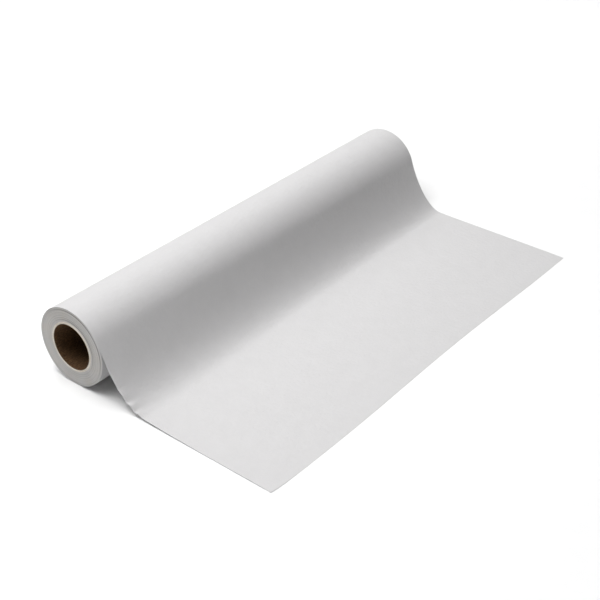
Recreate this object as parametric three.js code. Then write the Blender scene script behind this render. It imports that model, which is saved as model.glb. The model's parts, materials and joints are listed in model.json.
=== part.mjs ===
// A roll of seamless backdrop paper, lying on the floor with its loose end pulled out flat.
//
// Frame (millimetres): the roll's axis runs along X, the sheet is pulled out towards -Y, and +Z is up.
// The origin is on the floor, at the middle of the whole outline.

import * as THREE from "three";

// ---- driving dimensions ----

const WEB_WIDTH = 610;
const ROLL_RADIUS = 50;
const LEADING_EDGE_REACH = 295;

const CORE_BORE_RADIUS = 28.6;
const INNER_PLY_THICKNESS = 0.5;
const CORE_OUTER_RADIUS = 31.4;

const GAP = 0.3;
const SHEET_THICKNESS = 0.4;

const TAPE_THICKNESS = 0.2;
const TAPE_LENGTH = 60;
const TAPE_WRAP = THREE.MathUtils.degToRad(45);
const TAPE_COUNT = 3;
const TAPE_END_MARGIN = 60;

const ROUND_SEGMENTS = 96;
const DROP_SEGMENTS = 28;
const SEGMENT_ANGLE = (2 * Math.PI) / ROUND_SEGMENTS;

// The sheet leaves the roll this far above the axis, and the last turn ends this far below that point.
const LEAVING_ANGLE = 6 * SEGMENT_ANGLE;
const TURN_SEGMENTS = 92;

// The drop: a cubic curve that leaves the roll along its tangent and meets the floor flat.
const DROP_START_PULL = 36;
const DROP_END_PULL = 24;
const DROP_FOOT_REACH = 106;
const FOOT_LENGTH = 6;

const LEADING_STRIP_DEPTH = 8;

// ---- places worked out from them ----

const AXIS_Y = (LEADING_EDGE_REACH - ROLL_RADIUS) / 2;
const AXIS_Z = ROLL_RADIUS;
const TURN_MID_RADIUS = ROLL_RADIUS - SHEET_THICKNESS / 2;
const PACK_OUTER_RADIUS = ROLL_RADIUS - SHEET_THICKNESS - GAP;
const TAPE_INNER_RADIUS = CORE_OUTER_RADIUS + GAP;
const PACK_INNER_RADIUS = TAPE_INNER_RADIUS + TAPE_THICKNESS + GAP;

// ---- materials ----

const paper = () => new THREE.MeshStandardMaterial({ color: 0xe4e4e6, roughness: 0.88, metalness: 0 });
const paleBoard = () => new THREE.MeshStandardMaterial({ color: 0xe6dfd2, roughness: 0.9, metalness: 0 });
const kraftBoard = () => new THREE.MeshStandardMaterial({ color: 0x8a6440, roughness: 0.9, metalness: 0 });
const creamTape = () => new THREE.MeshStandardMaterial({ color: 0xd9c9a0, roughness: 0.6, metalness: 0 });

// ---- shape helpers ----
// A profile is drawn in the plane across the roll: x is the distance in front of the roll's axis
// (towards -Y) and y is the height above the floor.

function pointOnRoll(radius, angle) {
  return new THREE.Vector2(radius * Math.cos(angle), AXIS_Z + radius * Math.sin(angle));
}

function arcPoints(radius, startAngle, segmentCount) {
  const points = [];
  for (let i = 0; i <= segmentCount; i += 1) {
    points.push(pointOnRoll(radius, startAngle + i * SEGMENT_ANGLE));
  }
  return points;
}

// Extrudes a profile along X, from startX for the given length. The extrusion itself runs towards -X.
function extrudeAlongRoll(shape, startX, length) {
  const geometry = new THREE.ExtrudeGeometry(shape, { depth: length, steps: 1, bevelEnabled: false });
  const across = new THREE.Vector3(0, -1, 0);
  const up = new THREE.Vector3(0, 0, 1);
  const along = new THREE.Vector3(-1, 0, 0);
  geometry.applyMatrix4(new THREE.Matrix4().makeBasis(across, up, along));
  geometry.translate(startX + length, AXIS_Y, 0);
  return geometry;
}

function ringGeometry(innerRadius, outerRadius) {
  const half = WEB_WIDTH / 2;
  const section = [
    new THREE.Vector2(innerRadius, -half),
    new THREE.Vector2(outerRadius, -half),
    new THREE.Vector2(outerRadius, half),
    new THREE.Vector2(innerRadius, half),
    new THREE.Vector2(innerRadius, -half),
  ];
  const geometry = new THREE.LatheGeometry(section, ROUND_SEGMENTS);
  geometry.rotateZ(-Math.PI / 2);
  geometry.translate(0, AXIS_Y, AXIS_Z);
  return geometry;
}

// A band of even thickness that follows a centre line.
function bandShape(centreLine, thickness) {
  const upper = [];
  const lower = [];
  const last = centreLine.length - 1;
  centreLine.forEach((point, i) => {
    const before = centreLine[Math.max(i - 1, 0)];
    const after = centreLine[Math.min(i + 1, last)];
    const direction = after.clone().sub(before).normalize();
    const normal = new THREE.Vector2(-direction.y, direction.x);
    upper.push(point.clone().addScaledVector(normal, thickness / 2));
    lower.push(point.clone().addScaledVector(normal, -thickness / 2));
  });
  return new THREE.Shape([...upper, ...lower.reverse()]);
}

// ---- the core ----

function coreInnerPly() {
  return ringGeometry(CORE_BORE_RADIUS, CORE_BORE_RADIUS + INNER_PLY_THICKNESS);
}

function coreBoard() {
  return ringGeometry(CORE_BORE_RADIUS + INNER_PLY_THICKNESS + GAP, CORE_OUTER_RADIUS);
}

// One strip of tape that holds the paper's inner end on the core, centred at the given place along X.
function coreTape(centreX) {
  const segments = Math.round(TAPE_WRAP / SEGMENT_ANGLE);
  const outer = arcPoints(TAPE_INNER_RADIUS + TAPE_THICKNESS, LEAVING_ANGLE, segments);
  const inner = arcPoints(TAPE_INNER_RADIUS, LEAVING_ANGLE, segments);
  const shape = new THREE.Shape([...outer, ...inner.reverse()]);
  return extrudeAlongRoll(shape, centreX - TAPE_LENGTH / 2, TAPE_LENGTH);
}

// ---- the paper ----

function woundPaper() {
  return ringGeometry(PACK_INNER_RADIUS, PACK_OUTER_RADIUS);
}

// The outermost turn, from its hidden end under the leaving point, round the back, over the top, and down
// the drop to the floor.
function outerTurn() {
  const turn = arcPoints(TURN_MID_RADIUS, LEAVING_ANGLE, TURN_SEGMENTS).reverse();
  const leaving = turn[turn.length - 1];
  const downTheRoll = new THREE.Vector2(Math.sin(LEAVING_ANGLE), -Math.cos(LEAVING_ANGLE));
  const foot = new THREE.Vector2(DROP_FOOT_REACH, SHEET_THICKNESS / 2);
  const drop = new THREE.CubicBezierCurve(
    leaving,
    leaving.clone().addScaledVector(downTheRoll, DROP_START_PULL),
    new THREE.Vector2(DROP_FOOT_REACH - DROP_END_PULL, foot.y),
    foot,
  );
  const footEnd = new THREE.Vector2(DROP_FOOT_REACH + FOOT_LENGTH, foot.y);
  const centreLine = [...turn, ...drop.getPoints(DROP_SEGMENTS).slice(1), footEnd];
  return extrudeAlongRoll(bandShape(centreLine, SHEET_THICKNESS), -WEB_WIDTH / 2, WEB_WIDTH);
}

// A flat stretch of the sheet on the floor, between two distances in front of the roll's axis.
function flatStretch(nearReach, farReach) {
  const geometry = new THREE.BoxGeometry(WEB_WIDTH, farReach - nearReach, SHEET_THICKNESS);
  geometry.translate(0, AXIS_Y - (nearReach + farReach) / 2, SHEET_THICKNESS / 2);
  return geometry;
}

function freeSheet() {
  const start = DROP_FOOT_REACH + FOOT_LENGTH + GAP;
  const end = LEADING_EDGE_REACH - LEADING_STRIP_DEPTH - GAP;
  return flatStretch(start, end);
}

function leadingEdge() {
  return flatStretch(LEADING_EDGE_REACH - LEADING_STRIP_DEPTH, LEADING_EDGE_REACH);
}

// ---- the assembly ----

const model = new THREE.Group();

function addPart(name, geometry, material) {
  const mesh = new THREE.Mesh(geometry, material);
  mesh.name = name;
  model.add(mesh);
}

addPart("core_inner_ply", coreInnerPly(), kraftBoard());
addPart("core_board", coreBoard(), paleBoard());
const firstTapeX = -WEB_WIDTH / 2 + TAPE_END_MARGIN + TAPE_LENGTH / 2;
const tapePitch = (-2 * firstTapeX) / (TAPE_COUNT - 1);
for (let i = 0; i < TAPE_COUNT; i += 1) {
  addPart(`core_tape_${i + 1}`, coreTape(firstTapeX + i * tapePitch), creamTape());
}
addPart("wound_paper", woundPaper(), paper());
addPart("outer_turn", outerTurn(), paper());
addPart("free_sheet", freeSheet(), paper());
addPart("leading_edge", leadingEdge(), paper());

export default model;
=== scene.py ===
# A roll of seamless backdrop paper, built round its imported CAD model. Lengths are in metres.

import json
import math

import bpy
import numpy as np
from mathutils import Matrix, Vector


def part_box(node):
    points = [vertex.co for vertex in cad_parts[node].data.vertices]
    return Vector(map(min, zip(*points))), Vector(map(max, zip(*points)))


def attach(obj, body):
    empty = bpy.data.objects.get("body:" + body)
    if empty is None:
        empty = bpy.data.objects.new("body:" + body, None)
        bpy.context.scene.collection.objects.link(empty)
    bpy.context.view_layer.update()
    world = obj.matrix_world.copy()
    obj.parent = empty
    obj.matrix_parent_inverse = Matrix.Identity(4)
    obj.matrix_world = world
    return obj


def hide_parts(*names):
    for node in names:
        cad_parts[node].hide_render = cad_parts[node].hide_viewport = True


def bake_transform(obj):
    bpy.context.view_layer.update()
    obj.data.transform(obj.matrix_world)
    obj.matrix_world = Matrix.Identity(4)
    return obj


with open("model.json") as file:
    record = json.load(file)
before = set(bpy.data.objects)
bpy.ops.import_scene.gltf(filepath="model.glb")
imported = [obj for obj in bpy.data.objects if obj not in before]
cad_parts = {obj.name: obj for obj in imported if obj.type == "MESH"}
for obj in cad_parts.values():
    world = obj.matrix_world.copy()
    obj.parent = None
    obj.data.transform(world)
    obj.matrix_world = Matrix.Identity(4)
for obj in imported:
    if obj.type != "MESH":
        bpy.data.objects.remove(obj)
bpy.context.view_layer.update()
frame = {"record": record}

MM = 0.001
TURN = 2 * math.pi

# ---- places from the frame ----

JOINTS = {joint["name"]: joint for joint in frame["record"]["behaviour"]["joints"]}
AXIS_Y, AXIS_Z = JOINTS["roll_turn"]["pos_m"][1:]
ROLL_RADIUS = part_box("outer_turn")[1].z / 2
NEAR_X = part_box("outer_turn")[0].x
FAR_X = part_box("outer_turn")[1].x
WEB_WIDTH = FAR_X - NEAR_X
LEADING_REACH = AXIS_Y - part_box("leading_edge")[0].y

CORE_RADIUS = (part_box("core_board")[1].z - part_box("core_board")[0].z) / 2
LINER_OUTER_RADIUS = (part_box("core_inner_ply")[1].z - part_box("core_inner_ply")[0].z) / 2
LINER_THICKNESS = 0.5 * MM
BORE_RADIUS = LINER_OUTER_RADIUS - LINER_THICKNESS

# ---- the paper ----

PAPER_THICKNESS = 0.2 * MM
TURN_PITCH = 0.2 * MM

# The drop at the near end and at the far end of the roll.
# leave: how many degrees above the axis the paper leaves the roll; pull: how straight it starts off;
# foot and height: where it comes down; slope and bend: how it comes down; settle: how far it takes to
# lie flat.
NEAR_DROP = dict(
    leave=30, pull=46 * MM, foot=116 * MM, height=2.3 * MM, slope=0.05, bend=35 * MM, settle=96 * MM)
FAR_DROP = dict(
    leave=18, pull=24 * MM, foot=101 * MM, height=0.6 * MM, slope=0.03, bend=25 * MM, settle=26 * MM)

# How the drop's shape fades from the near end to the far end.
DROP_FADE = 1.6

# How far the cut strays from straight, how much it thins the paper, and over what distance.
CUT_WANDER = 1.5 * MM
CUT_CORNER = 2.2 * MM
CUT_THINNING = 0.6
CUT_TAPER = 1.5 * MM

# How far the sheet strays from flat. Reaches are in front of the roll's axis.
FLAT_REACH = 95 * MM
NEAR_EDGE_LIFT = 0.5 * MM
FAR_EDGE_LIFT = 0.2 * MM
LIFTED_WIDTH = 14 * MM
SWELL = 0.14 * MM
KINKS_REACH = 89 * MM
KINKS_PHASE = 76.4 * MM
KINK_HEIGHT = 1.5 * MM
KINK_SPACING = 12.3 * MM

# How far the near edge of the drop curls under, and between which reaches.
EDGE_CURL = 1.3 * MM
CURL_START_REACH = 52 * MM
CURL_END_REACH = 108 * MM

# ---- the colours ----

PAPER_ALBEDO = 0.6
PAPER_TINT = (1.0, 0.988, 0.993)
EDGE_ALBEDO = 0.61
KRAFT_DARK = (0.054, 0.027, 0.011)
KRAFT_LIGHT = (0.18, 0.10, 0.045)
BOARD_DARK = (0.70, 0.655, 0.585)
BOARD_LIGHT = (0.86, 0.83, 0.775)
TAPE_DARK = (0.60, 0.49, 0.28)
TAPE_LIGHT = (0.74, 0.63, 0.40)
WHITE = (1.0, 1.0, 1.0)

# The way that the slack side of the roll faces, where the cut edges are given painted shade for their
# gaps.
SLACK_Y = -0.64
SLACK_Z = 0.77

# ---- the studio ----

# The floor is a little below the sheet. It is painted lighter and made to glow away from the roll, as
# painted light, up to half of this reach.
FLOOR_SIZE = 60.0
FLOOR_DEPTH = 0.02 * MM
PAINTED_LIGHT_REACH = 6.0

# Angles are in degrees.
BOUNCE_SPREAD = 50
SOFTBOX_DISTANCE = 1.5
SOFTBOX_SIZE = 1.0

# Angles are in degrees, the lens is in millimetres and the shift is a share of the frame.
CAMERA_AZIMUTH = -50.26
CAMERA_ELEVATION = 31.43
CAMERA_PLACE = (-1.0435, -0.783, 0.853)
CAMERA_LENS = 74.35
CAMERA_SHIFT = 0.05
CAMERA_SIGHT = 100.0


# ---- mesh helpers ----

def place(along, reach, height):
    """Points from arrays of the place along the roll, the reach in front of its axis and the height."""
    return np.stack(np.broadcast_arrays(along, AXIS_Y - reach, height), axis=-1)


def grid_faces(first, rows, columns, flip=False):
    """Quads of a grid of vertices numbered from first, row by row."""
    corner = first + np.arange(rows - 1)[:, None] * columns + np.arange(columns - 1)
    quads = np.stack([corner, corner + 1, corner + columns + 1, corner + columns], axis=-1)
    quads = quads.reshape(-1, 4)
    return quads[:, ::-1] if flip else quads


def border(rows, columns):
    """Numbers of a grid's border vertices, in order round it."""
    numbers = np.arange(rows * columns).reshape(rows, columns)
    return np.concatenate([numbers[0, :-1], numbers[:-1, -1], numbers[-1, :0:-1], numbers[:0:-1, 0]])


def add_mesh(name, points, faces, smooth, material):
    """A mesh object. smooth says for each face whether it is shaded smooth."""
    mesh = bpy.data.meshes.new(name)
    mesh.from_pydata(points.reshape(-1, 3).tolist(), [], faces.tolist())
    mesh.polygons.foreach_set("use_smooth", smooth)
    mesh.materials.append(material)
    mesh.validate()
    thing = bpy.data.objects.new(name, mesh)
    bpy.context.scene.collection.objects.link(thing)
    return thing


def closed_sheet(name, upper, lower, material):
    """A thin closed solid between two grids of points."""
    rows, columns = upper.shape[:2]
    count = rows * columns
    rim = border(rows, columns)
    after = np.roll(rim, -1)
    rim_faces = np.stack([rim, rim + count, after + count, after], axis=-1)
    sides = [grid_faces(0, rows, columns), grid_faces(count, rows, columns, flip=True)]
    faces = np.concatenate(sides + [rim_faces])
    smooth = np.arange(len(faces)) < len(faces) - len(rim_faces)
    points = np.concatenate([upper.reshape(-1, 3), lower.reshape(-1, 3)])
    return add_mesh(name, points, faces, smooth, material)


def revolved(name, loops, smooth_rows, material):
    """A solid of revolution about the roll's axis. loops holds (along, radius) for each angle and each
    point of a closed profile, and smooth_rows says which of the profile's sides are smooth."""
    angles, count = loops.shape[:2]
    theta = np.linspace(0, TURN, angles, endpoint=False)[:, None]
    radius = loops[..., 1]
    points = place(loops[..., 0], radius * np.cos(theta), AXIS_Z + radius * np.sin(theta))
    here = np.arange(angles)[:, None] * count
    there = (here + count) % (angles * count)
    side = np.arange(count)
    after = (side + 1) % count
    faces = np.stack(np.broadcast_arrays(here + side, here + after, there + after, there + side), axis=-1)
    smooth = np.broadcast_to(np.array(smooth_rows), (angles, count)).ravel()
    return add_mesh(name, points, faces.reshape(-1, 4), smooth, material)


def cubic(p0, p1, p2, p3, count):
    """Points of a cubic curve, without its first."""
    t = np.linspace(0, 1, count + 1)[1:, None]
    return (1 - t) ** 3 * p0 + 3 * (1 - t) ** 2 * t * p1 + 3 * (1 - t) * t * t * p2 + t ** 3 * p3


def ease(t):
    """A smooth step from 0 to 1."""
    t = np.clip(t, 0, 1)
    return t * t * (3 - 2 * t)


def waves(x, seed):
    """A smooth random curve of x with a mean of zero and a size of about one."""
    draw = np.random.default_rng(seed)
    total = np.zeros_like(x)
    for octave in range(4):
        pitch = 2 ** octave * draw.uniform(0.8, 1.2)
        total = total + np.sin(x * pitch + draw.uniform(0, TURN)) / 1.5 ** octave
    return total / 1.6


# ---- materials ----

def new_material(name):
    material = bpy.data.materials.new(name)
    material.use_nodes = True
    return material, material.node_tree, material.node_tree.nodes["Principled BSDF"]


def link(tree, source, target):
    tree.links.new(source, target)


def noise_node(tree, vector, scale, detail):
    node = tree.nodes.new("ShaderNodeTexNoise")
    node.inputs["Scale"].default_value = scale
    node.inputs["Detail"].default_value = detail
    node.inputs["Roughness"].default_value = 0.55
    link(tree, vector, node.inputs["Vector"])
    return node.outputs["Fac"]


def stretched(tree, vector, scale):
    """The vector times a scale for each axis."""
    node = tree.nodes.new("ShaderNodeMapping")
    node.inputs["Scale"].default_value = scale
    link(tree, vector, node.inputs["Vector"])
    return node.outputs["Vector"]


def ramp(tree, value, low, high, low_colour, high_colour):
    """A colour that goes from one to the other as the value goes from low to high."""
    node = tree.nodes.new("ShaderNodeValToRGB")
    node.color_ramp.elements[0].position = low
    node.color_ramp.elements[0].color = (*low_colour, 1)
    node.color_ramp.elements[1].position = high
    node.color_ramp.elements[1].color = (*high_colour, 1)
    link(tree, value, node.inputs["Fac"])
    return node.outputs["Color"]


def math_node(tree, operation, *values):
    node = tree.nodes.new("ShaderNodeMath")
    node.operation = operation
    for socket, value in zip(node.inputs, values):
        if isinstance(value, (int, float)):
            socket.default_value = value
        else:
            link(tree, value, socket)
    return node.outputs["Value"]


def mixed(tree, share, first, second, blend="MIX"):
    node = tree.nodes.new("ShaderNodeMix")
    node.data_type = "RGBA"
    node.blend_type = blend
    # The node's sockets share their names, and these are the ones for colours.
    sockets = (node.inputs["Factor"], node.inputs[6], node.inputs[7])
    for socket, value in zip(sockets, (share, first, second)):
        if isinstance(value, (int, float)):
            socket.default_value = value
        elif isinstance(value, tuple):
            socket.default_value = (*value, 1)
        else:
            link(tree, value, socket)
    return node.outputs[2]


def bump(tree, height, strength, distance, before=None):
    """A bumped normal, on top of the one before it."""
    node = tree.nodes.new("ShaderNodeBump")
    node.inputs["Strength"].default_value = strength
    node.inputs["Distance"].default_value = distance
    link(tree, height, node.inputs["Height"])
    if before is not None:
        link(tree, before, node.inputs["Normal"])
    return node.outputs["Normal"]


def object_coordinates(tree):
    return tree.nodes.new("ShaderNodeTexCoord").outputs["Object"]


def grey(value, warmth=0.0):
    """A grey, with more red and less blue by the warmth."""
    return (value * (1 + warmth), value, value * (1 - warmth))


def paper_material():
    """Uncoated backdrop paper: cloudy formation, fine fibres both ways, a slight cockle and tooth."""
    material, tree, shader = new_material("backdrop_paper")
    where = object_coordinates(tree)
    cloud = noise_node(tree, where, 55, detail=3)
    fibres_along = noise_node(tree, stretched(tree, where, (500, 1900, 1900)), 1.0, detail=3)
    fibres_across = noise_node(tree, stretched(tree, where, (1900, 700, 700)), 1.0, detail=3)
    cockle = noise_node(tree, where, 210, detail=2)
    tooth = noise_node(tree, where, 2600, detail=2)
    fibres = math_node(tree, "ADD", fibres_along, fibres_across)
    base = ramp(tree, cloud, 0.3, 0.7, grey(PAPER_ALBEDO * 0.985), grey(PAPER_ALBEDO * 1.01))
    base = mixed(tree, 1.0, base, PAPER_TINT, "MULTIPLY")
    grain = ramp(tree, fibres, 0.75, 1.25, grey(0.97), grey(1.0))
    link(tree, mixed(tree, 1.0, base, grain, "MULTIPLY"), shader.inputs["Base Color"])
    link(tree, ramp(tree, fibres, 0.7, 1.3, grey(0.6), grey(0.72)), shader.inputs["Roughness"])
    coarse = bump(tree, cockle, 1.0, 0.5 * MM)
    middling = bump(tree, fibres, 0.5, 0.06 * MM, coarse)
    link(tree, bump(tree, tooth, 0.5, 0.04 * MM, middling), shader.inputs["Normal"])
    shader.inputs["Specular IOR Level"].default_value = 0.5
    return material


def ring_noise(tree, radius, scale):
    """Noise that changes with the radius only."""
    node = tree.nodes.new("ShaderNodeTexNoise")
    node.noise_dimensions = "1D"
    node.inputs["Scale"].default_value = scale
    node.inputs["Detail"].default_value = 3
    link(tree, radius, node.inputs["W"])
    return node.outputs["Fac"]


def wound_paper_material():
    """The same paper seen on its cut edges: turns of slightly different tone, with painted shade for the
    gaps between turns on the slack side, which is up and in front."""
    material, tree, shader = new_material("backdrop_paper_edges")
    where = object_coordinates(tree)
    apart = tree.nodes.new("ShaderNodeSeparateXYZ")
    link(tree, where, apart.inputs["Vector"])
    behind = math_node(tree, "SUBTRACT", apart.outputs["Y"], AXIS_Y)
    above = math_node(tree, "SUBTRACT", apart.outputs["Z"], AXIS_Z)
    behind_squared = math_node(tree, "MULTIPLY", behind, behind)
    above_squared = math_node(tree, "MULTIPLY", above, above)
    radius = math_node(tree, "SQRT", math_node(tree, "ADD", behind_squared, above_squared))
    rings = ring_noise(tree, radius, 1400)
    gap_shade_rings = ring_noise(tree, radius, 480)
    slack_forward = math_node(tree, "MULTIPLY", behind, SLACK_Y)
    slack_up = math_node(tree, "MULTIPLY", above, SLACK_Z)
    slack_side = math_node(tree, "DIVIDE", math_node(tree, "ADD", slack_forward, slack_up), ROLL_RADIUS)
    fuzz = noise_node(tree, where, 1500, detail=3)
    cloud = noise_node(tree, where, 60, detail=2)
    base = ramp(tree, rings, 0.35, 0.65, grey(EDGE_ALBEDO * 0.84, 0.01), grey(EDGE_ALBEDO * 1.08, 0.02))
    # Painted shade: darker rings that stand for the shade in the gaps between slack turns.
    shadow = ramp(tree, gap_shade_rings, 0.42, 0.5, grey(0.5), grey(1.0))
    # The painted gap shade shows on the slack side only.
    slack = ramp(tree, slack_side, 0.1, 0.8, grey(0.15), grey(1.0))
    base = mixed(tree, slack, base, mixed(tree, 1.0, base, shadow, "MULTIPLY"))
    dust = ramp(tree, fuzz, 0.3, 0.7, grey(0.92), grey(1.0))
    warm = ramp(tree, cloud, 0.35, 0.7, WHITE, (1.0, 0.975, 0.94))
    colour = mixed(tree, 1.0, mixed(tree, 1.0, base, dust, "MULTIPLY"), warm, "MULTIPLY")
    link(tree, colour, shader.inputs["Base Color"])
    link(tree, ramp(tree, fuzz, 0.3, 0.7, grey(0.86), grey(0.97)), shader.inputs["Roughness"])
    link(tree, bump(tree, fuzz, 0.4, 0.05 * MM), shader.inputs["Normal"])
    shader.inputs["Specular IOR Level"].default_value = 0.25
    return material


def kraft_material():
    """Brown kraft liner with long fibres, specks and stains."""
    material, tree, shader = new_material("kraft_liner")
    where = object_coordinates(tree)
    fibres = noise_node(tree, stretched(tree, where, (260, 900, 900)), 1.0, detail=5)
    specks = noise_node(tree, where, 700, detail=3)
    blotch = noise_node(tree, where, 45, detail=3)
    base = ramp(tree, fibres, 0.3, 0.72, KRAFT_DARK, KRAFT_LIGHT)
    spots = ramp(tree, specks, 0.36, 0.5, (0.62, 0.55, 0.48), WHITE)
    stain = ramp(tree, blotch, 0.3, 0.7, (0.86, 0.84, 0.80), WHITE)
    colour = mixed(tree, 1.0, mixed(tree, 1.0, base, spots, "MULTIPLY"), stain, "MULTIPLY")
    link(tree, colour, shader.inputs["Base Color"])
    link(tree, ramp(tree, fibres, 0.3, 0.7, grey(0.72), grey(0.92)), shader.inputs["Roughness"])
    link(tree, bump(tree, fibres, 0.5, 0.12 * MM), shader.inputs["Normal"])
    shader.inputs["Specular IOR Level"].default_value = 0.3
    return material


def board_material():
    """Pale solid board, sawn across its plies."""
    material, tree, shader = new_material("core_board")
    where = object_coordinates(tree)
    fibres = noise_node(tree, stretched(tree, where, (2500, 900, 900)), 1.0, detail=4)
    blotch = noise_node(tree, where, 160, detail=3)
    base = ramp(tree, fibres, 0.3, 0.7, BOARD_DARK, BOARD_LIGHT)
    stain = ramp(tree, blotch, 0.35, 0.7, (0.90, 0.87, 0.82), WHITE)
    link(tree, mixed(tree, 1.0, base, stain, "MULTIPLY"), shader.inputs["Base Color"])
    link(tree, ramp(tree, fibres, 0.3, 0.7, grey(0.85), grey(0.97)), shader.inputs["Roughness"])
    link(tree, bump(tree, fibres, 0.6, 0.08 * MM), shader.inputs["Normal"])
    shader.inputs["Specular IOR Level"].default_value = 0.25
    return material


def tape_material():
    """Cream crepe masking tape, wrinkled across its width."""
    material, tree, shader = new_material("crepe_tape")
    where = object_coordinates(tree)
    crepe = noise_node(tree, stretched(tree, where, (300, 2200, 2200)), 1.0, detail=4)
    link(tree, ramp(tree, crepe, 0.3, 0.7, TAPE_DARK, TAPE_LIGHT), shader.inputs["Base Color"])
    link(tree, ramp(tree, crepe, 0.3, 0.7, grey(0.45), grey(0.65)), shader.inputs["Roughness"])
    link(tree, bump(tree, crepe, 0.8, 0.1 * MM), shader.inputs["Normal"])
    return material


def floor_material():
    """A pale floor with painted light: darker near the roll, lighter and glowing far from it."""
    material, tree, shader = new_material("pale_floor")
    where = object_coordinates(tree)
    distance = tree.nodes.new("ShaderNodeVectorMath")
    distance.operation = "LENGTH"
    link(tree, stretched(tree, where, (1 / PAINTED_LIGHT_REACH,) * 3), distance.inputs[0])
    # Painted shade and light: the floor's colour is darker near the roll and lighter far out, to make up
    # for the lamps' falloff.
    painted_floor_falloff = ramp(tree, distance.outputs["Value"], 0.08, 0.16, grey(0.9), grey(0.98))
    fine = ramp(tree, noise_node(tree, where, 40, detail=2), 0.3, 0.7, grey(0.99), grey(1.0))
    link(tree, mixed(tree, 1.0, painted_floor_falloff, fine, "MULTIPLY"), shader.inputs["Base Color"])
    # Painted light: the floor glows far from the roll, though it is no lamp.
    painted_floor_glow = ramp(tree, distance.outputs["Value"], 0.12, 0.5, grey(0.0), grey(0.33))
    link(tree, painted_floor_glow, shader.inputs["Emission Color"])
    shader.inputs["Emission Strength"].default_value = 1.0
    shader.inputs["Roughness"].default_value = 0.9
    shader.inputs["Specular IOR Level"].default_value = 0.1
    return material


PAPER = paper_material()
PAPER_EDGES = wound_paper_material()
KRAFT = kraft_material()
BOARD = board_material()
TAPE = tape_material()


# ---- the web: the outer turn, the drop and the sheet on the floor ----

ARC_STEPS = 150
DROP_STEPS = 44
SETTLE_STEPS = 22
FLAT_STEPS = 42
FLAT_CROWDING = 1.6
FLAT_SPACING = 1 - (1 - np.linspace(0, 1, FLAT_STEPS + 1)[1:]) ** FLAT_CROWDING
HIDDEN_LAP = math.radians(15)
WEB_MID_RADIUS = ROLL_RADIUS - PAPER_THICKNESS / 2


def cut_line(along):
    """How far the leading edge strays from a straight cut: a slow wander, and a near corner that is
    drawn back."""
    from_near = along - NEAR_X
    wander = CUT_WANDER * np.sin(TURN * (1.35 * from_near / WEB_WIDTH - 0.02))
    corner = CUT_CORNER * np.exp(-from_near / (13 * MM))
    return wander - corner


def drop_between(near_share):
    """The drop's measures part of the way from the far end's to the near end's."""
    return {key: FAR_DROP[key] + (NEAR_DROP[key] - FAR_DROP[key]) * near_share for key in NEAR_DROP}


def web_centre_line(near_share, lead):
    """(reach, height) along the web, from its hidden end under the leaving point to the leading edge."""
    drop = drop_between(near_share)
    leave = math.radians(drop["leave"])
    angle = np.linspace(leave + TURN + HIDDEN_LAP, leave, ARC_STEPS + 1)
    radius = WEB_MID_RADIUS - TURN_PITCH * (angle - leave) / TURN
    arc = np.stack([radius * np.cos(angle), AXIS_Z + radius * np.sin(angle)], axis=-1)
    under = PAPER_THICKNESS / 2
    foot = np.array([drop["foot"], under + drop["height"]])
    heading = np.array([1.0, -drop["slope"]])
    start_pull = arc[-1] + drop["pull"] * np.array([math.sin(leave), -math.cos(leave)])
    fall = cubic(arc[-1], start_pull, foot - drop["bend"] * heading, foot, DROP_STEPS)
    flat = np.array([drop["foot"] + drop["settle"], under])
    pull = drop["settle"] / 3
    settle = cubic(foot, foot + pull * heading, flat - np.array([pull, 0]), flat, SETTLE_STEPS)
    reach = flat[0] + (lead - flat[0]) * FLAT_SPACING
    rest = np.stack([reach, np.full_like(reach, under)], axis=-1)
    return np.concatenate([arc, fall, settle, rest])


def web_columns():
    """Places along the roll, closer together towards both ends."""
    edge = np.array([0, 0.7, 1.5, 2.5, 4, 6, 8, 10.5, 13.5, 17, 22, 28, 35, 44]) * MM
    middle = np.linspace(edge[-1], WEB_WIDTH - edge[-1], 44)[1:-1]
    return NEAR_X + np.concatenate([edge, middle, WEB_WIDTH - edge[::-1]])


def lift_of_sheet(along, reach):
    """How far the sheet on the floor stands up: its edges, its near corner, a slight swell, and the two
    small kinks at the foot of its near edge."""
    from_near = along - NEAR_X
    from_far = FAR_X - along
    from_lead = LEADING_REACH - reach
    on_floor = ease((reach - FLAT_REACH) / (40 * MM))
    pressed = ease(from_lead / (30 * MM))
    near_edge = NEAR_EDGE_LIFT * np.exp(-from_near / LIFTED_WIDTH)
    far_edge = FAR_EDGE_LIFT * np.exp(-from_far / LIFTED_WIDTH)
    near_corner = NEAR_EDGE_LIFT * np.exp(-np.hypot(from_near, from_lead) / (16 * MM))
    foot = np.exp(-((reach - KINKS_REACH) / (15 * MM)) ** 2) * np.exp(-from_near / (6 * MM))
    kinks = KINK_HEIGHT * foot * (1 + np.sin(TURN * (reach - KINKS_PHASE) / KINK_SPACING))
    swell = SWELL * (1 + waves(along / (60 * MM), 3) * waves(reach / (45 * MM), 4))
    flat_lift = (near_edge + far_edge) * pressed + near_corner + np.maximum(swell, 0) * pressed
    return on_floor * flat_lift + kinks


def edge_curl(along, reach):
    """How far the near edge of the drop curls under."""
    on_drop = ease((reach - CURL_START_REACH) / (12 * MM)) * ease((CURL_END_REACH - reach) / (16 * MM))
    return EDGE_CURL * on_drop * np.exp(-(along - NEAR_X) / (2.2 * MM))


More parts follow.
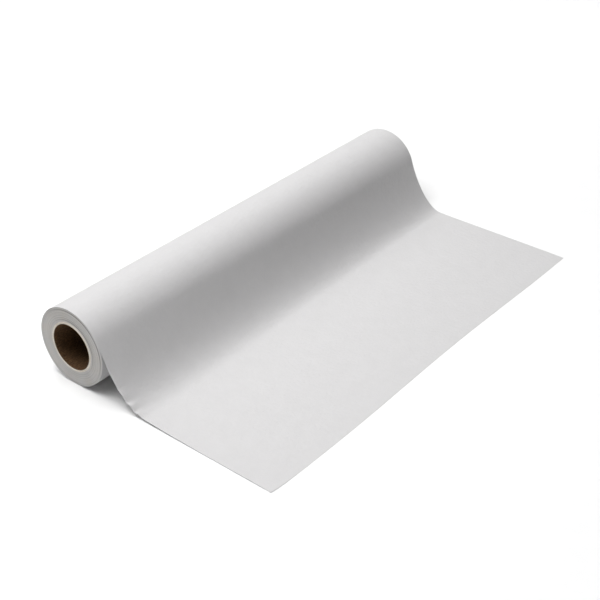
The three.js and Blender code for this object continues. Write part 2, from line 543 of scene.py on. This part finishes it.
def paper_web():
    """The whole web outside the pack, as one thin sheet that thins out at its cut edge."""
    columns = web_columns()
    near_shares = (1 - (columns - NEAR_X) / WEB_WIDTH) ** DROP_FADE
    lead = LEADING_REACH + cut_line(columns)
    centre = np.stack([web_centre_line(share, end) for share, end in zip(near_shares, lead)], axis=1)
    steps = np.gradient(centre, axis=0)
    normal = np.stack([-steps[..., 1], steps[..., 0]], axis=-1)
    normal /= np.linalg.norm(normal, axis=-1, keepdims=True)
    from_lead = lead - centre[..., 0]
    half = PAPER_THICKNESS / 2 * (1 - CUT_THINNING * np.exp(-from_lead / CUT_TAPER))[..., None]
    past_arc = np.arange(len(centre))[:, None] > ARC_STEPS
    lift = np.where(past_arc, lift_of_sheet(columns[None, :], centre[..., 0]), 0)
    # The thinned edge lies on the floor like the rest.
    lift -= np.where(past_arc, PAPER_THICKNESS / 2 - half[..., 0], 0) * ease(4 - from_lead / MM)
    centre = centre - edge_curl(columns[None, :], centre[..., 0])[..., None] * past_arc[..., None] * normal
    upper = centre + half * normal
    lower = centre - half * normal
    above = place(columns, upper[..., 0], upper[..., 1] + lift)
    below = place(columns, lower[..., 0], lower[..., 1] + lift)
    web = closed_sheet("paper_web_sheet", above, below, PAPER)
    middle = centre[:, len(columns) // 2]
    length = float(np.linalg.norm(np.diff(middle, axis=0), axis=1).sum())
    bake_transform(web)
    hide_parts("outer_turn", "free_sheet", "leading_edge")
    return web, length


# ---- the wound pack ----

PACK_INNER_RADIUS = CORE_RADIUS + 0.15 * MM
PACK_OUTER_RADIUS = ROLL_RADIUS - 2 * TURN_PITCH - 0.15 * MM
PACK_TURNS = 88
STEPS_PER_TURN = 96
WOUND_THICKNESS = 0.175 * MM

# Air between slack turns: the first gap's turn and the turns from gap to gap, the most that a gap opens in
# millimetres, and the side it faces in degrees.
FIRST_GAP = 4.0
GAP_SPACING = (4, 11)
GAP_SIZE = (0.08, 0.26)
GAP_FACING = (10, 110)

# How deep the turns end inside the roll's ends, and by how much that varies from turn to turn.
END_INSET = 0.3 * MM
END_DRIFT = 0.13 * MM
END_JITTER = 0.07 * MM
END_WOBBLE = 0.05 * MM


def loose_gaps(turn, angle):
    """How much air has opened between the turns up to this one, at this angle, in metres."""
    draw = np.random.default_rng(11)
    total = np.zeros_like(turn)
    gap_turn = FIRST_GAP
    while gap_turn < PACK_TURNS - 2:
        size = draw.uniform(*GAP_SIZE) * MM
        facing = math.radians(draw.uniform(*GAP_FACING))
        opened = size * np.clip(0.35 + 0.65 * np.cos(angle - facing), 0, 1) ** 1.5
        total = total + opened * ease(turn - gap_turn)
        gap_turn += draw.uniform(*GAP_SPACING)
    return total


def wound_pack():
    """The pack as one spiral sheet, whose turns end at slightly different depths."""
    total_steps = PACK_TURNS * STEPS_PER_TURN
    turn = np.arange(total_steps + 1) / STEPS_PER_TURN
    start = math.radians(NEAR_DROP["leave"])
    angle = start - TURN * turn
    everything = PACK_TURNS * TURN_PITCH + loose_gaps(np.full_like(turn, PACK_TURNS), angle)
    share = (turn * TURN_PITCH + loose_gaps(turn, angle)) / everything
    depth = PACK_OUTER_RADIUS - PACK_INNER_RADIUS - WOUND_THICKNESS
    inner = PACK_INNER_RADIUS + depth * share
    outer = inner + WOUND_THICKNESS
    ends = []
    for side, seed in ((-1, 21), (1, 34)):
        drift = END_DRIFT * waves(turn / 5.5, seed) + END_JITTER * waves(turn / 1.3, seed + 1)
        wobble = END_WOBBLE * waves(turn / 3.0, seed + 2) * np.sin(angle + seed)
        inset = END_INSET + drift + wobble
        ends.append(side * (WEB_WIDTH / 2 - np.maximum(inset, 0)))
    along = np.stack(ends, axis=1)
    cos, sin = np.cos(angle)[:, None], np.sin(angle)[:, None]
    outside = place(along, outer[:, None] * cos, AXIS_Z + outer[:, None] * sin)
    inside = place(along, inner[:, None] * cos, AXIS_Z + inner[:, None] * sin)
    pack = closed_sheet("wound_paper_spiral", outside, inside, PAPER_EDGES)
    length = float(np.hypot(np.diff(outer * np.cos(angle)), np.diff(outer * np.sin(angle))).sum())
    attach(pack, "roll")
    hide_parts("wound_paper")
    return pack, length


# ---- the core ----

CORE_ANGLES = 160
CORE_CHAMFER = 0.1 * MM
BOARD_PLIES = 5
BOARD_GROOVE_WIDTH = 0.07 * MM
BOARD_GROOVE_DEPTH = 0.22 * MM
SAW_MARKS = 0.06 * MM
SEAM_PITCH = 88 * MM
SEAM_WIDTH = 1.3 * MM
SEAM_DEPTH = 0.22 * MM
LINER_RIPPLE = 0.03 * MM

TAPE_START = math.radians(23)
TAPE_END = math.radians(67)
TAPE_THICKNESS = 0.07 * MM
TAPE_CRINKLE = 0.012 * MM

rng = np.random.default_rng(7)


def core_wall():
    """The board plies: each ends at its own depth, with a fine groove to the next."""
    inner = LINER_OUTER_RADIUS + 0.02 * MM
    ply = (CORE_RADIUS - inner) / BOARD_PLIES
    groove = BOARD_GROOVE_WIDTH / 2
    edge = []
    for i in range(BOARD_PLIES):
        start = inner + i * ply
        depth = rng.uniform(0.02, 0.14) * MM
        edge += [(start + groove, depth), (start + ply - groove, depth)]
        if i < BOARD_PLIES - 1:
            edge.append((start + ply, depth + BOARD_GROOVE_DEPTH))
    half = WEB_WIDTH / 2
    near = [(-half + depth, radius) for radius, depth in edge]
    far = [(half - depth, radius) for radius, depth in reversed(edge)]
    near_end = [(near[0][0] + CORE_CHAMFER, inner)] + near + [(near[-1][0] + CORE_CHAMFER, CORE_RADIUS)]
    far_end = [(far[0][0] - CORE_CHAMFER, CORE_RADIUS)] + far + [(far[-1][0] - CORE_CHAMFER, inner)]
    profile = np.array(near_end + far_end)
    theta = np.linspace(0, TURN, CORE_ANGLES, endpoint=False)[:, None]
    saw = SAW_MARKS * (waves(np.round(9 * theta), 5) + 0.6 * np.sin(2 * theta + 1))
    loops = np.repeat(profile[None], CORE_ANGLES, axis=0)
    loops[..., 0] -= np.sign(loops[..., 0]) * np.abs(saw)
    smooth = [False] * len(profile)
    smooth[len(near_end) - 1] = True
    smooth[-1] = True
    wall = revolved("core_wall_plies", loops[:, ::-1], smooth[::-1], BOARD)
    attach(wall, "roll")
    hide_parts("core_board")


def core_liner():
    """The brown inner ply, with the shallow groove of its helical seam."""
    near = np.concatenate([np.arange(0, 90, 1.25), np.arange(90, 300, 10)]) * MM
    along = np.concatenate([NEAR_X + near, [0], FAR_X - near[::-1]])
    along[0] += CORE_CHAMFER
    along[-1] -= CORE_CHAMFER
    theta = np.linspace(0, TURN, CORE_ANGLES, endpoint=False)[:, None]
    phase = ((along - NEAR_X) / SEAM_PITCH + theta / TURN) % 1.0
    away = np.minimum(phase, 1 - phase) * SEAM_PITCH
    groove = SEAM_DEPTH * np.exp(-(away / SEAM_WIDTH) ** 2)
    ripple = LINER_RIPPLE * waves(theta * 3 + along / (30 * MM), 8)
    inside = BORE_RADIUS + groove + ripple
    outside = np.full_like(inside, LINER_OUTER_RADIUS)
    bore = np.stack([np.broadcast_to(along, inside.shape), inside], axis=-1)
    back = np.stack([np.broadcast_to(along, inside.shape), outside], axis=-1)[:, ::-1][:, [0, -1]]
    loops = np.concatenate([bore, back], axis=1)
    smooth = [True] * (len(along) - 1) + [False, True, False]
    liner = revolved("core_liner_kraft", loops, smooth, KRAFT)
    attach(liner, "roll")
    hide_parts("core_inner_ply")


def tape_strip(node):
    """One strip of tape on the core, where its CAD node is."""
    low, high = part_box(node)
    along = np.linspace(low.x, high.x, 24)
    angle = np.linspace(TAPE_START, TAPE_END, 60)[:, None]
    crinkle = TAPE_CRINKLE * (1 + waves(angle * 90, 9)) * (1 + 0.2 * waves(along / (3 * MM), 10)) / 2
    glued = CORE_RADIUS + 0.015 * MM
    over = glued + TAPE_THICKNESS + crinkle
    under = np.full_like(over, glued)
    above = place(along, over * np.cos(angle), AXIS_Z + over * np.sin(angle))
    below = place(along, under * np.cos(angle), AXIS_Z + under * np.sin(angle))
    strip = closed_sheet(node.replace("core_tape", "tape_strip"), below, above, TAPE)
    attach(strip, "roll")
    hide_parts(node)


web, web_length = paper_web()
pack, pack_length = wound_pack()
core_wall()
core_liner()
for number in (1, 2, 3):
    tape_strip(f"core_tape_{number}")

# ---- floor, light and camera ----


def floor():
    """A wide floor, just clear of the sheet."""
    bpy.ops.mesh.primitive_plane_add(size=FLOOR_SIZE, location=(0, 0, -FLOOR_DEPTH))
    plane = bpy.context.object
    plane.name = "floor"
    plane.data.materials.append(floor_material())


def backdrop():
    """A white dome round the studio. It is only there to be seen, and lights nothing."""
    bpy.ops.mesh.primitive_uv_sphere_add(segments=64, ring_count=32, radius=FLOOR_SIZE / 2)
    dome = bpy.context.object
    dome.name = "backdrop_dome"
    for rays in ("diffuse", "glossy", "transmission", "volume_scatter", "shadow"):
        setattr(dome, "visible_" + rays, False)
    material, _, shader = new_material("backdrop_white")
    shader.inputs["Base Color"].default_value = (0, 0, 0, 1)
    shader.inputs["Emission Color"].default_value = (1, 1, 1, 1)
    shader.inputs["Emission Strength"].default_value = 1.0
    dome.data.materials.append(material)


def direction(azimuth, elevation):
    """From the origin outwards. Azimuth 0 is -Y and 90 is +X, in degrees."""
    turned = math.radians(azimuth)
    raised = math.radians(elevation)
    level = math.cos(raised)
    return Vector((math.sin(turned) * level, -math.cos(turned) * level, math.sin(raised)))


def hang_light(name, data, azimuth, elevation):
    """A light that shines on the origin."""
    lamp = bpy.data.objects.new(name, data)
    back = direction(azimuth, elevation)
    lamp.location = SOFTBOX_DISTANCE * back
    lamp.rotation_euler = back.to_track_quat("Z", "Y").to_euler()
    lamp.visible_camera = False
    bpy.context.scene.collection.objects.link(lamp)


def bounce(name, azimuth, elevation, strength):
    """Soft light from a far wall or ceiling."""
    data = bpy.data.lights.new(name, "SUN")
    data.energy = strength
    data.angle = math.radians(BOUNCE_SPREAD)
    hang_light(name, data, azimuth, elevation)


def softbox(name, azimuth, elevation, strength):
    """A round softbox. Its strength is what reaches the origin, as a sun's is."""
    data = bpy.data.lights.new(name, "AREA")
    data.shape = "DISK"
    data.size = SOFTBOX_SIZE
    data.energy = strength * math.pi * SOFTBOX_DISTANCE ** 2
    hang_light(name, data, azimuth, elevation)


def dark_world():
    """A black world. The lamps and the floor's painted glow give all the light."""
    world = bpy.data.worlds.new("studio")
    world.use_nodes = True
    world.node_tree.nodes["Background"].inputs["Strength"].default_value = 0.0
    bpy.context.scene.world = world


def camera():
    """At the photograph's viewing angle and distance, with the roll at the same place in the frame."""
    data = bpy.data.cameras.new("camera")
    data.lens = CAMERA_LENS
    data.sensor_width = 36
    data.shift_x = CAMERA_SHIFT
    data.shift_y = -CAMERA_SHIFT
    data.clip_end = CAMERA_SIGHT
    cam = bpy.data.objects.new("camera", data)
    towards = -direction(CAMERA_AZIMUTH, CAMERA_ELEVATION)
    cam.rotation_euler = towards.to_track_quat("-Z", "Y").to_euler()
    cam.location = CAMERA_PLACE
    bpy.context.scene.collection.objects.link(cam)
    bpy.context.scene.camera = cam


floor()
backdrop()
# Each light's name, azimuth, elevation and strength.
bounce("overhead_bounce", 0, 90, 0.83)
bounce("behind_bounce", 180, 60, 0.91)
bounce("left_bounce", 240, 60, 0.68)
softbox("top_softbox", 240, 70, 1.53)
softbox("back_softbox", 135, 45, 0.58)
softbox("near_softbox", 300, 20, 0.07)
dark_world()
camera()
bpy.context.scene.view_settings.view_transform = "Standard"
